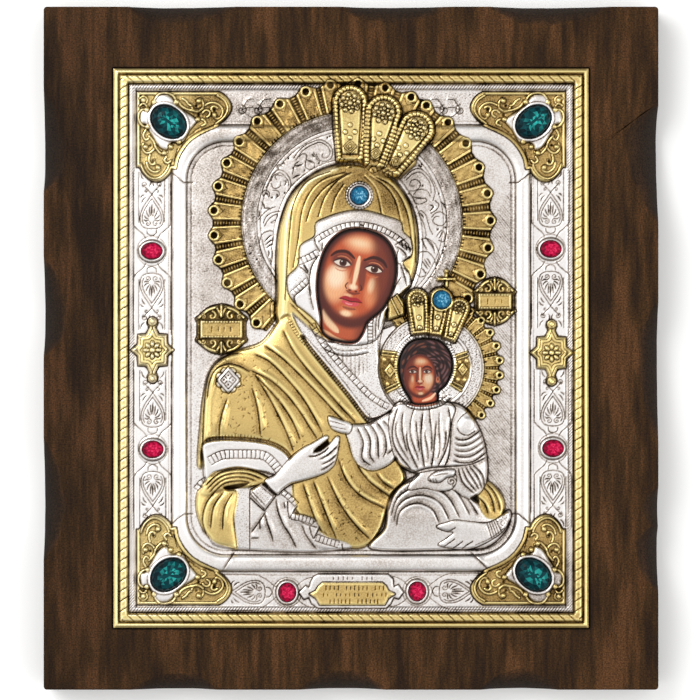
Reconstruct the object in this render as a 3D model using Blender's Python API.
"""Icon panel: a gouged wooden board, one embossed metal cover set in it, two painted
faces in the cover's openings, and twelve glued faceted stones.

The panel lies on its back: +X is right, +Y is the top of the picture, +Z comes out of it.
Lengths are in millimetres until a mesh is made, and heights in the cover are measured
from the board's front face."""

import bpy
import numpy as np

MM = 0.001

# Board
BOARD_WIDTH, BOARD_HEIGHT, BOARD_THICKNESS = 270.0, 300.0, 20.0
CORNER_RADIUS = 1.5
ARRIS = 0.8
BED_DEPTH = 1.5
BED_CLEARANCE = 0.9
GOUGE_SLOPE = 0.85
GOUGE_HOLLOW = 0.56
GOUGE_STEPS = 7
LEAST_STEP = 2.5

# Cover
COVER_WIDTH, COVER_HEIGHT = 208.4, 245.2
GAP = 0.3
UNDERSIDE = BOARD_THICKNESS - BED_DEPTH + GAP
GRID_PITCH = 0.95
COVER_TRIANGLES = 6600
SHEET_FIELD = 0.5
FILLET_WIDTH, FILLET_HEIGHT = 1.4, 1.0
ROPE_AXIS, ROPE_RADIUS, ROPE_HEIGHT = 4.0, 2.0, 2.2
CORD_AXIS, CORD_RADIUS, CORD_HEIGHT = 7.6, 1.0, 1.2
MOULDING_OUTER = (78.6, 98.0)
MOULDING_INNER = (72.0, 90.6)
MOULDING_HEIGHT = 1.9
MOULDING_CORNER, MOULDING_INNER_CORNER = 20.0, 17.0

# Haloes: centre, disc radius, radius over the rays, rays in a full circle
MOTHER_HALO = ((0.4, 55.2), 48.7, 62.3, 32)
CHILD_HALO = ((35.2, -8.7), 23.3, 31.0, 28)
DISC_LEVEL, RAY_LEVEL, RAY_RISE = 1.6, 1.0, 1.1
RAY_FALL = 0.4
PLATE_SLOPE, PLATE_SHARE = 1.6, 0.8
HALO_EDGE = 1.2

# Stones: name, centre, half-length, half-width, turn of the long axis in degrees, and the
# height of the setting that holds it
CORNER_STONE = (8.4, 6.4, 38.0, 2.3)
CORNER_STONE_PLACE = (80.0, 99.3)
STONE_SIDES = 12
STONES = (
    ("border_stone_left_upper", (-87.4, 42.6), 4.6, 3.7, 0.0, 1.9),
    ("border_stone_right_upper", (87.6, 43.5), 4.6, 3.7, 0.0, 1.9),
    ("border_stone_left_lower", (-87.0, -44.4), 4.6, 3.7, 0.0, 1.9),
    ("border_stone_right_lower", (88.6, -43.9), 4.6, 3.7, 0.0, 1.9),
    ("border_stone_bottom_left", (-28.0, -107.1), 4.2, 3.8, 90.0, 1.9),
    ("border_stone_bottom_right", (29.0, -106.7), 4.2, 3.8, 90.0, 1.9),
    ("veil_star_stone", (3.7, 66.8), 3.9, 3.9, 0.0, 6.0),
    ("child_crown_stone", (39.7, 21.2), 4.0, 4.0, 0.0, 6.8),
)
BEZEL_WIDTH = 1.1
STONE_SINK = 1.3
GIRDLE_HEIGHT = 1.2
CROWN_RISE = 0.42
FOOT_SHARE, TABLE_SHARE = 0.82, 0.62
CUTTER_TOP = 15.0

# Openings for the painted panels: place of the head, its tilt in degrees, and an even
# outline of face and neck about that place
PAINTING_TOP = 1.8
OPENINGS = {
    "mother_face_painting": ((2.4, 30.9), -12.0,
                             ((0.0, 21.5), (9.5, 19.0), (15.5, 11.0), (17.0, 0.0), (14.5, -10.5),
                              (9.0, -18.0), (7.6, -24.0), (5.0, -28.0), (-3.0, -29.0),
                              (-9.5, -27.0), (-12.0, -19.5), (-15.5, -10.0), (-17.0, 0.0),
                              (-15.5, 11.0), (-9.5, 19.0))),
    "child_face_painting": ((32.8, -9.3), 0.0,
                            ((0.0, 13.4), (6.6, 12.0), (10.8, 6.6), (11.7, 0.0), (10.2, -6.6),
                             (6.4, -11.8), (3.4, -15.0), (-4.6, -15.4), (-8.0, -12.0),
                             (-10.4, -6.6), (-11.7, 0.0), (-10.8, 6.6), (-6.6, 12.0))),
}

# Gouges on each side of the board: start, end, deepest place along the side, reach inwards
GOUGES = {
    "top": ((-99.0, -49.0, -81.0, 8.0), (-6.0, 46.0, 14.0, 7.0), (60.0, 116.0, 82.0, 8.4)),
    "bottom": ((-98.0, -58.0, -74.0, 7.6), (-24.0, 16.0, -3.0, 8.8), (56.0, 92.0, 74.0, 9.0)),
    "left": ((68.0, 116.0, 82.0, 9.4), (-4.0, 42.0, 12.0, 10.4), (-94.0, -38.0, -70.0, 9.4)),
    "right": (
        (54.0, 107.0, 92.0, 14.6),
        (-44.0, 21.0, 0.0, 9.0),
        (-82.0, -60.0, -71.0, 7.0),
        (-108.0, -76.0, -88.0, 10.2),
    ),
}

# Outlines of the raised figures, each with only the points that its shape needs
HOOD = ((-31.7, 10.6), (-32.5, 25.5), (-32.5, 42.1), (-30.8, 55.2), (-25.9, 67.5), (-17.1, 75.8),
        (-6.6, 80.2), (4.8, 80.2), (16.3, 75.8), (24.6, 65.7), (28.6, 54.4), (29, 39.5),
        (25.9, 28.1), (18, 18.5), (4, 6.2), (-14.5, 3.6))
VEIL = ((-22.4, 11.5), (-27.7, 25.5), (-26.8, 35.1), (-21.1, 45.6), (-14.5, 57), (-4, 60.5),
        (11.9, 60.5), (21.5, 56.1), (25.1, 43), (23.7, 29.8), (16.3, 21.1), (11, 3.6), (-9.2, 1.4))
SHAWL = ((-31.2, 13.2), (-39.1, 3.2), (-49.7, -0.8), (-60.2, -6.9), (-64.6, -19.2), (-66.4, -40.6),
         (-52.3, -39.7), (-35.6, -41.5), (-26.8, -48.1), (-25.9, -62.1), (-24.2, -71.7),
         (-13.6, -80.4), (-2.2, -87.4), (6.6, -87), (13.6, -78.7), (18, -64.7), (24.2, -56.8),
         (18, -45.4), (7.5, -32.3), (-0.4, -21.8), (-11, -8.7), (-19.8, 2.7), (-25.9, 14.1))
TUNIC = ((-25.9, 15.8), (-19.8, 2.7), (-11, -8.7), (-0.4, -21.8), (8.4, -31.4), (20.7, -24.4),
         (14.5, -12.2), (12.8, 3.6), (18, 19.3), (9.2, 8), (-9.2, 3.6))
UNDER_ROBE = ((-66.4, -40.6), (-28.6, -45.4), (-24.2, -62.1), (-22.4, -73.4), (-3.1, -88.3),
              (-62.9, -88.3), (-69, -71.7), (-67.7, -53.3))
SLEEVE_BAND = ((-66, -40.6), (-50.6, -39.7), (-34.7, -41.9), (-26.8, -48.1), (-31.2, -55.1),
               (-39.1, -54.2), (-49.7, -52.4), (-60.2, -54.6), (-66.4, -58.6))
CUFF_ROLL = ((-66.4, -62.9), (-63.3, -57.2), (-55.8, -53.3), (-44.4, -52.4), (-34.7, -57.7),
             (-42.7, -60.7), (-55, -62.1), (-62.9, -65.1))
LOWER_SLEEVE = ((-66, -62.9), (-68.6, -71.7), (-65.1, -82.2), (-55.8, -87.4), (-50.1, -87.9),
                (-51.4, -73.4), (-49.7, -62.1), (-58.5, -61.2))
RIGHT_HAND = ((-37.4, -60.3), (-29.5, -50.7), (-21.5, -43.2), (-10.6, -37.5), (-10.1, -40.2),
              (-16.3, -44.1), (-6.2, -38.9), (-5.3, -47.2), (-12.8, -55.1), (-24.2, -59.4),
              (-32.5, -64.7))
KNEES = ((9.2, -88.3), (14.5, -78.7), (16.3, -67.3), (22.4, -59.4), (32.1, -55.5), (44.4, -58.6),
         (54.1, -66.4), (65.5, -71.7), (69, -77.8), (61.1, -86.6), (48.8, -88.3))
LEFT_SLEEVE = ((55, -56.8), (62, -59.4), (67.3, -66.4), (66.4, -73.4), (59.4, -74.3), (55, -66.4))
LEFT_HAND = ((37.8, -86.6), (43.5, -81.8), (38.3, -77.8), (46.2, -74.7), (60.2, -75.2),
             (64.6, -79.6), (58.5, -86.1), (47.1, -88.3))
CHILD_ARM = ((-2.2, -34), (7.5, -32.7), (18, -27.9), (21.5, -35.8), (19.8, -48.1), (10.1, -53.7),
             (2.2, -50.2), (-0.9, -41.9))
CHILD_HAND = ((-10.1, -29.7), (-4.8, -31), (0.4, -33.2), (-1.3, -37.5), (-8.4, -35.4))
CHILD_TORSO = ((20.7, -23.5), (28.6, -24.4), (39.1, -23.5), (48.8, -25.3), (55.8, -34),
               (59.4, -45.4), (59.4, -58.6), (52.3, -66), (41.8, -60.3), (28.6, -55.1),
               (20.7, -50.7), (17.1, -40.2), (16.7, -29.7))
CHILD_FIST = ((33.9, -57.2), (36.5, -52.9), (44.4, -52.4), (45.7, -57.7), (40.9, -61.2))
CORNER_PLATE = ((94.0, 112.6), (58.0, 112.6), (54.2, 109.5), (52.4, 105.2), (53.4, 101.4),
                (57.6, 98.2), (66.4, 95.0), (73.0, 88.9), (77.0, 80.4), (80.0, 76.2), (86.0, 73.6),
                (91.0, 75.8), (94.0, 80.2))
STAR_PLATE = ((0.0, 14.6), (2.0, 13.6), (2.4, 11.8), (1.5, 9.8), (2.6, 7.2), (6.4, 6.9), (6.6, 2.7),
              (9.6, 0.0))
STAR_PLACES = ((-87.1, -0.8), (88.0, -2.0))
LEFT_PLAQUE = ((-67.7, 13.2), (-62, 19.8), (-51.4, 19.8), (-45.7, 13.2), (-45.7, 3.6),
               (-51.4, -2.1), (-62, -2.1), (-67.7, 3.6))
RIGHT_PLAQUE = ((55, 23.7), (57.6, 30.3), (68.2, 30.3), (71.2, 24.6), (71.2, 15.8), (68.2, 10.6),
                (57.6, 10.6), (55, 16.7))
ROSETTE = ((-54.1, -13.9), 5.2, 6.0)
CROWN_BAND = ((-7.5, 96.4), (-6.6, 81.1), (3.1, 81.1), (8.4, 78), (14.5, 76.2), (20.7, 73.6),
              (28.6, 80.6), (29.5, 91.1), (15.4, 100.7))
# Crown petals: foot, tip, half-width at the foot and below the tip
MOTHER_PETALS = (((-0.4, 81.9), (-0.4, 115.6), 5.8, 7.6), ((18.9, 76.2), (33.4, 103.4), 4.6, 7.2),
                 ((9.7, 78.9), (15.8, 111.7), 4.8, 7.5))
CHILD_PETALS = (((36.9, 4.9), (39.6, 26.8), 3.6, 4.6), ((30.3, 4.9), (28.6, 26.3), 4.0, 5.2),
                ((42.2, 2.7), (48.8, 22.4), 3.0, 5.0))
BOTTOM_PLATE = ((-18.5, -108), (-14.5, -102.8), (15.4, -102.8), (19.8, -107.6), (15.4, -113.3),
                (-14.5, -113.3))

# Main folds of the drapery: a line through a few points, its half-width and its rise
FOLDS = (
    (((-48.8, -1.7), (-31.2, -10.4), (-13.6, -23.5), (-2.6, -35.8)), 4.0, 1.3),
    (((-46.2, -11.3), (-26.8, -27), (-14.5, -42.8)), 3.4, 1.2),
    (((-50.6, -18.3), (-35.6, -30.5), (-23.3, -45.4)), 3.0, 1.0),
    (((-39.1, 1), (-22.4, -10.4), (-4.8, -27), (4.8, -33.2)), 3.2, 1.2),
    (((-21.1, -60.3), (-14.5, -75.2), (-4, -86.6)), 3.0, 1.1),
    (((-12.8, -56.8), (-4.8, -70.8), (6.6, -83.9)), 3.2, 1.2),
    (((-4.8, -47.2), (3.1, -61.2), (14.5, -71.7)), 3.4, 1.3),
    (((19.8, -64.7), (30.3, -58.6), (44.4, -64.7), (54.1, -75.2)), 2.6, 1.0),
    (((25.9, -27), (25.1, -40.2), (30.3, -53.3)), 2.4, 0.8),
    (((36.5, -26.2), (37.4, -40.2), (35.6, -54.2)), 2.4, 0.8),
    (((6.6, -34.9), (9.2, -43.7), (13.6, -49.8)), 2.4, 0.8),
    (((-29.5, 11.5), (-30.3, 38.6), (-25.1, 62.2), (-12.8, 74.5)), 2.6, 1.1),
    (((-36.5, -71.7), (-34.7, -79.6), (-31.2, -87.4)), 2.6, 0.9),
)

# Paint, metal and stone: colour, roughness, metallic
MATERIALS = {
    "stained_wood": ((0.055, 0.028, 0.014), 0.62, 0.0),
    "silvered_and_gilt_sheet": ((0.62, 0.56, 0.42), 0.34, 1.0),
    "painted_panel": ((0.52, 0.17, 0.08), 0.45, 0.0),
    "green_glass": ((0.01, 0.16, 0.16), 0.06, 0.0),
    "red_glass": ((0.50, 0.004, 0.03), 0.06, 0.0),
    "blue_glass": ((0.05, 0.35, 0.55), 0.06, 0.0),
}


def material(name):
    colour, roughness, metallic = MATERIALS[name]
    made = bpy.data.materials.get(name) or bpy.data.materials.new(name)
    made.use_nodes = True
    shader = made.node_tree.nodes["Principled BSDF"]
    shader.inputs["Base Color"].default_value = (*colour, 1.0)
    shader.inputs["Roughness"].default_value = roughness
    shader.inputs["Metallic"].default_value = metallic
    return made


def make_object(name, points, faces, finish):
    """A mesh object from points in millimetres, with its faces turned outwards."""
    mesh = bpy.data.meshes.new(name)
    mesh.from_pydata((np.asarray(points) * MM).tolist(), [], faces)
    mesh.validate()
    mesh.materials.append(material(finish))
    made = bpy.data.objects.new(name, mesh)
    bpy.context.collection.objects.link(made)
    return made


def loft(rings):
    """Points and faces of a closed body through rings of equally many points, each ring
    anticlockwise seen from above and the rings in order from the bottom to the top."""
    count = len(rings[0])
    faces = [tuple(reversed(range(count)))]
    for ring in range(len(rings) - 1):
        low, high = ring * count, (ring + 1) * count
        for i in range(count):
            j = (i + 1) % count
            faces.append((low + i, low + j, high + j, high + i))
    last = (len(rings) - 1) * count
    faces.append(tuple(range(last, last + count)))
    return np.concatenate(rings), faces


def smooth_line(points, steps, closed=True):
    """A rounded line through the points: a Catmull-Rom curve with equal steps in each span."""
    p = np.asarray(points, float)
    p = np.concatenate([p[-1:], p, p[:2]]) if closed else np.concatenate([p[:1], p, p[-1:]])
    t = np.linspace(0.0, 1.0, steps, endpoint=False)[:, None]
    spans = []
    for a, b, c, d in zip(p[:-3], p[1:-2], p[2:-1], p[3:]):
        spans.append(0.5 * (2 * b + (c - a) * t + (2 * a - 5 * b + 4 * c - d) * t**2
                            + (3 * b - a - 3 * c + d) * t**3))
    if not closed:
        spans.append(p[-1:])
    return np.concatenate(spans)


def turned(points, degrees):
    angle = np.radians(degrees)
    x, y = np.asarray(points, float).T
    return np.stack([x * np.cos(angle) - y * np.sin(angle), x * np.sin(angle) + y * np.cos(angle)], 1)


def oval(centre, half_length, half_width, degrees, count):
    angle = np.arange(count) * 2 * np.pi / count
    ring = np.stack([half_length * np.cos(angle), half_width * np.sin(angle)], 1)
    return turned(ring, degrees) + np.asarray(centre)


def gouge_reach(side, place):
    """How far in from the side a gouge cuts at each place along it: a parabola each way
    from the deepest place, and never less than the softened arris."""
    reach = np.full(len(place), ARRIS)
    for start, end, deepest, most in GOUGES[side]:
        half = np.where(place < deepest, deepest - start, end - deepest)
        reach = np.maximum(reach, most * (1.0 - ((place - deepest) / half) ** 2))
    return reach


def board_stations(side, half):
    """Places along a side: its gouges in equal steps, with a few between them."""
    places = [np.array([-half, half]), np.linspace(-half, half, 6)[1:-1]]
    places += [np.linspace(start, end, GOUGE_STEPS + 1) for start, end, _, _ in GOUGES[side]]
    places = np.unique(np.round(np.concatenate(places), 1))
    places = places[np.abs(places) <= half]
    kept = [places[0]]
    for place in places[1:-1]:
        if place - kept[-1] > LEAST_STEP and half - place > LEAST_STEP:
            kept.append(place)
    return np.array(kept + [half])


def board_rim():
    """Places round the board anticlockwise, with the way inwards and the gouges' reach."""
    across = BOARD_WIDTH / 2 - CORNER_RADIUS
    up = BOARD_HEIGHT / 2 - CORNER_RADIUS
    sides = (("bottom", across, 1, 0.0), ("right", up, 1, 90.0), ("top", across, -1, 180.0),
             ("left", up, -1, 270.0))
    rim, inwards, reach = [], [], []
    for side, half, way, turn in sides:
        other = BOARD_HEIGHT / 2 if side in ("bottom", "top") else BOARD_WIDTH / 2
        places = board_stations(side, half)
        depth = gouge_reach(side, places)
        if way < 0:
            places, depth = -places[::-1], depth[::-1]
        local = np.stack([places, np.full(len(places), -other)], 1)
        rim.append(turned(local, turn))
        inwards.append(np.repeat(turned([(0.0, 1.0)], turn), len(places), axis=0))
        reach.append(depth)
        corner = (half, -(other - CORNER_RADIUS))
        angle = np.radians([-60.0, -30.0])
        arc = np.stack([corner[0] + CORNER_RADIUS * np.cos(angle),
                        corner[1] + CORNER_RADIUS * np.sin(angle)], 1)
        rim.append(turned(arc, turn))
        inwards.append(turned(np.stack([-np.cos(angle), -np.sin(angle)], 1), turn))
        reach.append(np.full(2, ARRIS))
    return np.concatenate(rim), np.concatenate(inwards), np.concatenate(reach)


def wood_panel():
    """The board as one loft: back, straight edge, gouged slope, front, and the cover's bed."""
    rim, inwards, reach = board_rim()
    bed = np.array([COVER_WIDTH, COVER_HEIGHT]) / 2 + BED_CLEARANCE
    inner = rim / (np.array([BOARD_WIDTH, BOARD_HEIGHT]) / 2) * bed
    front = BOARD_THICKNESS
    fall = GOUGE_SLOPE * reach

    def ring(flat, height):
        return np.column_stack([flat, np.broadcast_to(height, len(flat))])

    half_way = rim + inwards * (0.5 * reach)[:, None]
    rings = [
        ring(rim, 0.0),
        ring(rim, front - fall),
        ring(half_way, front - GOUGE_HOLLOW * fall),
        ring(rim + inwards * reach[:, None], front),
        ring(inner, front),
        ring(inner, front - BED_DEPTH),
    ]
    return make_object("wood_panel", *loft(rings), "stained_wood")


def edge_distance(x, y, outline):
    """Distance of each place to a closed outline, positive inside it: the least distance
    to its straight pieces, with the sign from how many of them lie to the right."""
    nearest = np.full(x.shape, 1e9)
    inside = np.zeros(x.shape, bool)
    for (ax, ay), (bx, by) in zip(outline, np.roll(outline, -1, axis=0)):
        dx, dy = bx - ax, by - ay
        along = np.clip(((x - ax) * dx + (y - ay) * dy) / (dx * dx + dy * dy + 1e-12), 0.0, 1.0)
        nearest = np.minimum(nearest, (x - ax - along * dx) ** 2 + (y - ay - along * dy) ** 2)
        if ay != by:
            crosses = (y < ay) != (y < by)
            inside ^= crosses & (x < ax + (y - ay) / (by - ay) * dx)
    return np.where(inside, 1.0, -1.0) * np.sqrt(nearest)


def line_distance(x, y, line):
    nearest = np.full(x.shape, 1e9)
    for (ax, ay), (bx, by) in zip(line[:-1], line[1:]):
        dx, dy = bx - ax, by - ay
        along = np.clip(((x - ax) * dx + (y - ay) * dy) / (dx * dx + dy * dy + 1e-12), 0.0, 1.0)
        nearest = np.minimum(nearest, (x - ax - along * dx) ** 2 + (y - ay - along * dy) ** 2)
    return np.sqrt(nearest)


def ease(t):
    t = np.clip(t, 0.0, 1.0)
    return t * t * (3.0 - 2.0 * t)


def swell(t):
    """A quarter circle: 0 at the edge, upright there, and 1 level with the top at t = 1."""
    return np.sqrt(1.0 - (1.0 - np.clip(t, 0.0, 1.0)) ** 2)


def hump(t):
    """A rounded ridge: 1 on its axis and 0 from t = 1 outwards."""
    return np.cos(np.clip(np.abs(t), 0.0, 1.0) * np.pi / 2) ** 2


class Relief:
    """Heights of the sheet over a grid. Each shape is laid over those before it."""

    def __init__(self, x, y):
        self.x, self.y = x, y
        self.h = np.full(x.shape, SHEET_FIELD)

    def lay(self, outline, level, rise=0.0, width=6.0, edge=1.6):
        """Inside the outline the sheet comes up to level, and swells by rise within width."""
        d = edge_distance(self.x, self.y, outline)
        share = ease(d / edge)
        self.h = self.h * (1.0 - share) + (level + rise * swell(d / width)) * share

    def fold(self, line, half_width, rise):
        self.h += rise * hump(line_distance(self.x, self.y, line) / half_width)


def border(relief):
    """Fillet, rope and cord round the edge, each half round, at a set distance from it."""
    inset = np.minimum(COVER_WIDTH / 2 - np.abs(relief.x), COVER_HEIGHT / 2 - np.abs(relief.y))
    fillet = FILLET_HEIGHT * swell(1.0 - np.abs(inset / FILLET_WIDTH * 2.0 - 1.0))
    rope = ROPE_HEIGHT * swell(1.0 - np.abs(inset - ROPE_AXIS) / ROPE_RADIUS)
    cord = CORD_HEIGHT * swell(1.0 - np.abs(inset - CORD_AXIS) / CORD_RADIUS)
    relief.h += np.maximum(np.maximum(fillet, rope), cord)


def moulding(relief):
    """A half-round frame whose corners turn inwards round the corner plates."""
    x, y = np.abs(relief.x), np.abs(relief.y)

    def rounded(half, radius):
        out = np.hypot(np.maximum(x - (half[0] - radius), 0), np.maximum(y - (half[1] - radius), 0))
        return radius - out

    band = np.minimum(rounded(MOULDING_OUTER, MOULDING_CORNER),
                      -rounded(MOULDING_INNER, MOULDING_INNER_CORNER))
    half_width = (MOULDING_OUTER[0] - MOULDING_INNER[0]) / 2
    relief.h += MOULDING_HEIGHT * swell(band / half_width)


def halo(relief, centre, disc, rays, count):
    """A flat disc with a ring of ray plates round it that fall away outwards."""
    x, y = relief.x - centre[0], relief.y - centre[1]
    r, angle = np.hypot(x, y), np.arctan2(x, y)
    plate = np.clip(PLATE_SLOPE * np.cos(angle * count) + PLATE_SHARE, 0.0, 1.0)
    fall = (r - disc) / (rays - disc)
    height = RAY_LEVEL + RAY_RISE * plate * (1.0 - RAY_FALL * np.clip(fall, 0.0, 1.0))
    share = ease((rays - r) / HALO_EDGE)
    relief.h = relief.h * (1.0 - share) + np.maximum(height, relief.h) * share
    share = ease((disc - r) / HALO_EDGE)
    relief.h = relief.h * (1.0 - share) + DISC_LEVEL * share


def mirrored(points, sx, sy):
    ring = np.asarray(points) * (sx, sy)
    return ring if sx * sy > 0 else ring[::-1]


def star_outline():
    """The star ornament from a quarter of it, mirrored both ways."""
    quarter = np.array(STAR_PLATE)
    half = np.concatenate([quarter, (quarter * (1, -1))[-2::-1]])
    return np.concatenate([half, (half * (-1, 1))[-2:0:-1]])


def bezel(relief, place, half_length, half_width, degrees, seat):
    """A flat setting, which the stone's own pocket is cut into."""
    outer = oval(place, half_length + BEZEL_WIDTH, half_width + BEZEL_WIDTH, degrees, 24)
    relief.lay(outer, seat, edge=1.0)


def petal(foot, tip, foot_half, tip_half):
    """Outline of a crown petal: its sides spread from the foot to a round top at the tip."""
    foot, tip = np.array(foot), np.array(tip)
    length = np.hypot(*(tip - foot))
    angle = np.radians(np.arange(0.0, 181.0, 30.0))
    top = np.stack([tip_half * np.cos(angle), length - tip_half + tip_half * np.sin(angle)], 1)
    outline = np.concatenate([[(foot_half, 0.0)], top, [(-foot_half, 0.0)]])
    way = np.degrees(np.arctan2(*(tip - foot)[::-1])) - 90.0
    return turned(outline, way) + foot


def sheet_relief(x, y):
    relief = Relief(x, y)
    border(relief)
    moulding(relief)
    for sx in (-1, 1):
        for sy in (-1, 1):
            relief.lay(mirrored(CORNER_PLATE, sx, sy), 1.6, 0.4, 2.0)
    for place in STAR_PLACES:
        relief.lay(star_outline() + np.array(place), 1.4, 1.2, 5.0)
    relief.lay(np.array(BOTTOM_PLATE), 1.4)
    halo(relief, *MOTHER_HALO)
    relief.lay(np.array(LEFT_PLAQUE), 2.0)
    relief.lay(np.array(RIGHT_PLAQUE), 2.0)
    relief.lay(smooth_line(UNDER_ROBE, 3), 2.4, 1.2, 8.0)
    relief.lay(smooth_line(HOOD, 3), 3.0, 2.4, 9.0, 1.6)
    relief.lay(smooth_line(TUNIC, 3), 3.2, 0.6, 6.0)
    halo(relief, *CHILD_HALO)
    relief.lay(smooth_line(VEIL, 3), 4.0, 0.9, 5.0)
    relief.lay(smooth_line(SHAWL, 3), 3.4, 2.0, 12.0, 1.6)
    for line, half_width, rise in FOLDS[:7]:
        relief.fold(smooth_line(line, 4, closed=False), half_width, rise)
    relief.lay(smooth_line(SLEEVE_BAND, 3), 4.6, 0.8, 5.0)
    relief.lay(smooth_line(LOWER_SLEEVE, 3), 3.4, 1.6, 6.0)
    relief.lay(smooth_line(CUFF_ROLL, 3), 4.8, 1.0, 3.0)
    relief.lay(smooth_line(KNEES, 3), 4.0, 1.6, 10.0, 1.6)
    relief.lay(smooth_line(RIGHT_HAND, 3), 5.2, 1.4, 4.0)
    relief.lay(smooth_line(LEFT_SLEEVE, 3), 4.6, 1.0, 4.0)
    relief.lay(smooth_line(LEFT_HAND, 3), 5.6, 1.2, 4.0)
    relief.lay(smooth_line(CHILD_ARM, 3), 5.0, 1.4, 5.0)
    relief.lay(smooth_line(CHILD_HAND, 3), 5.6, 0.8, 2.0)
    relief.lay(smooth_line(CHILD_TORSO, 3), 5.0, 2.0, 10.0, 1.6)
    for line, half_width, rise in FOLDS[7:]:
        relief.fold(smooth_line(line, 4, closed=False), half_width, rise)
    relief.lay(smooth_line(CHILD_FIST, 3), 7.4, 0.6, 2.0)
    relief.lay(oval(*ROSETTE[:2], ROSETTE[1], 0.0, 16), ROSETTE[2])
    relief.lay(np.array(CROWN_BAND), 4.4)
    for petals, level in ((MOTHER_PETALS, 5.2), (CHILD_PETALS, 5.6)):
        for shape in petals:
            relief.lay(petal(*shape), level, 1.4, 4.0)
    for _, *setting in stone_places():
        bezel(relief, *setting)
    return relief.h


def stone_places():
    """The twelve stones: four mirrored in the corners, then those of the list."""
    half_length, half_width, degrees, seat = CORNER_STONE
    placed = []
    for name, sx, sy in (("top_left", -1, 1), ("top_right", 1, 1), ("bottom_left", -1, -1),
                         ("bottom_right", 1, -1)):
        place = (CORNER_STONE_PLACE[0] * sx, CORNER_STONE_PLACE[1] * sy)
        turn = degrees * sx * sy
        placed.append((f"corner_stone_{name}", place, half_length, half_width, turn, seat))
    return placed + list(STONES)


def opening(name, inset=0.0):
    """The rounded outline of an opening, moved inwards by the inset."""
    place, tilt, points = OPENINGS[name]
    outline = smooth_line(turned(points, tilt) + np.array(place), 2)
    along = np.roll(outline, -1, axis=0) - np.roll(outline, 1, axis=0)
    inwards = np.stack([along[:, 1], -along[:, 0]], 1) / np.hypot(*along.T)[:, None]
    return (outline + inset * inwards)[::-1]


def prism_rings(outline, low, high):
    return [np.column_stack([outline, np.full(len(outline), z)]) for z in (low, high)]


def cutter(name, points, faces):
    made = make_object(name, points, faces, "stained_wood")
    made.hide_render = True
    made.display_type = "WIRE"
    return made


def joined_prisms(outlines):
    """Points and faces of several separate prisms as one mesh."""
    points, faces, start = [], [], 0
    for outline, low, high in outlines:
        p, f = loft(prism_rings(outline, low, high))
        points.append(p)
        faces += [tuple(i + start for i in face) for face in f]
        start += len(p)
    return np.concatenate(points), faces


def metal_cover():
    """The sheet as a closed body: the relief on a fine grid, thinned to the triangles that
    its shape needs, with the stones' pockets and the two openings cut out of it."""
    columns = int(round(COVER_WIDTH / GRID_PITCH)) + 1
    rows = int(round(COVER_HEIGHT / GRID_PITCH)) + 1
    x, y = np.meshgrid(np.linspace(-COVER_WIDTH / 2, COVER_WIDTH / 2, columns),
                       np.linspace(-COVER_HEIGHT / 2, COVER_HEIGHT / 2, rows))
    top = np.stack([x, y, BOARD_THICKNESS + sheet_relief(x, y)], -1).reshape(-1, 3)
    index = np.arange(rows * columns).reshape(rows, columns)
    quads = np.stack([index[:-1, :-1], index[:-1, 1:], index[1:, 1:], index[1:, :-1]], -1)
    rim = np.concatenate([index[0], index[1:, -1], index[-1, -2::-1], index[-2:0:-1, 0]])
    floor = top[rim].copy()
    floor[:, 2] = UNDERSIDE
    below = len(top) + np.arange(len(rim))
    walls = np.stack([rim, below, np.roll(below, -1), np.roll(rim, -1)], 1)
    faces = [*map(tuple, quads.reshape(-1, 4).tolist()), *map(tuple, walls.tolist()),
             tuple(below[::-1].tolist())]
    cover = make_object("metal_cover", np.concatenate([top, floor]), faces, "silvered_and_gilt_sheet")
    thin = cover.modifiers.new("thin", "DECIMATE")
    thin.use_collapse_triangulate = True
    thin.ratio = COVER_TRIANGLES / (2.0 * (rows - 1) * (columns - 1) + 3.0 * len(rim))
    pockets = []
    for _, place, half_length, half_width, degrees, seat in stone_places():
        ring = oval(place, half_length + GAP, half_width + GAP, degrees, STONE_SIDES)
        floor_of_pocket = BOARD_THICKNESS + seat - STONE_SINK - GAP
        pockets.append((ring, floor_of_pocket, BOARD_THICKNESS + CUTTER_TOP))
    for name in OPENINGS:
        pockets.append((opening(name), 0.0, BOARD_THICKNESS + CUTTER_TOP))
    tool = cutter("cover_cutter", *joined_prisms(pockets))
    cut = cover.modifiers.new("openings", "BOOLEAN")
    cut.operation = "DIFFERENCE"
    cut.object = tool
    return cover


def paintings():
    for name in OPENINGS:
        rings = prism_rings(opening(name, GAP), UNDERSIDE, BOARD_THICKNESS + PAINTING_TOP)
        make_object(name, *loft(rings), "painted_panel")


def stone(name, place, half_length, half_width, degrees, seat, finish):
    """A faceted oval: a short foot, a girdle, a sloping crown and a flat table."""
    base = BOARD_THICKNESS + seat - STONE_SINK
    small = min(half_length, half_width)
    rings = []
    crown = GIRDLE_HEIGHT + CROWN_RISE * small
    for share, height in ((FOOT_SHARE, 0.0), (1.0, GIRDLE_HEIGHT), (TABLE_SHARE, crown)):
        ring = oval(place, half_length * share, half_width * share, degrees, STONE_SIDES)
        rings.append(np.column_stack([ring, np.full(STONE_SIDES, base + height)]))
    return make_object(name, *loft(rings), finish)


def main():
    for old in list(bpy.data.objects):
        bpy.data.objects.remove(old, do_unlink=True)
    wood_panel()
    metal_cover()
    paintings()
    for name, *setting in stone_places():
        finish = "red_glass"
        if name.startswith("corner"):
            finish = "green_glass"
        elif not name.startswith("border"):
            finish = "blue_glass"
        stone(name, *setting, finish)


main()
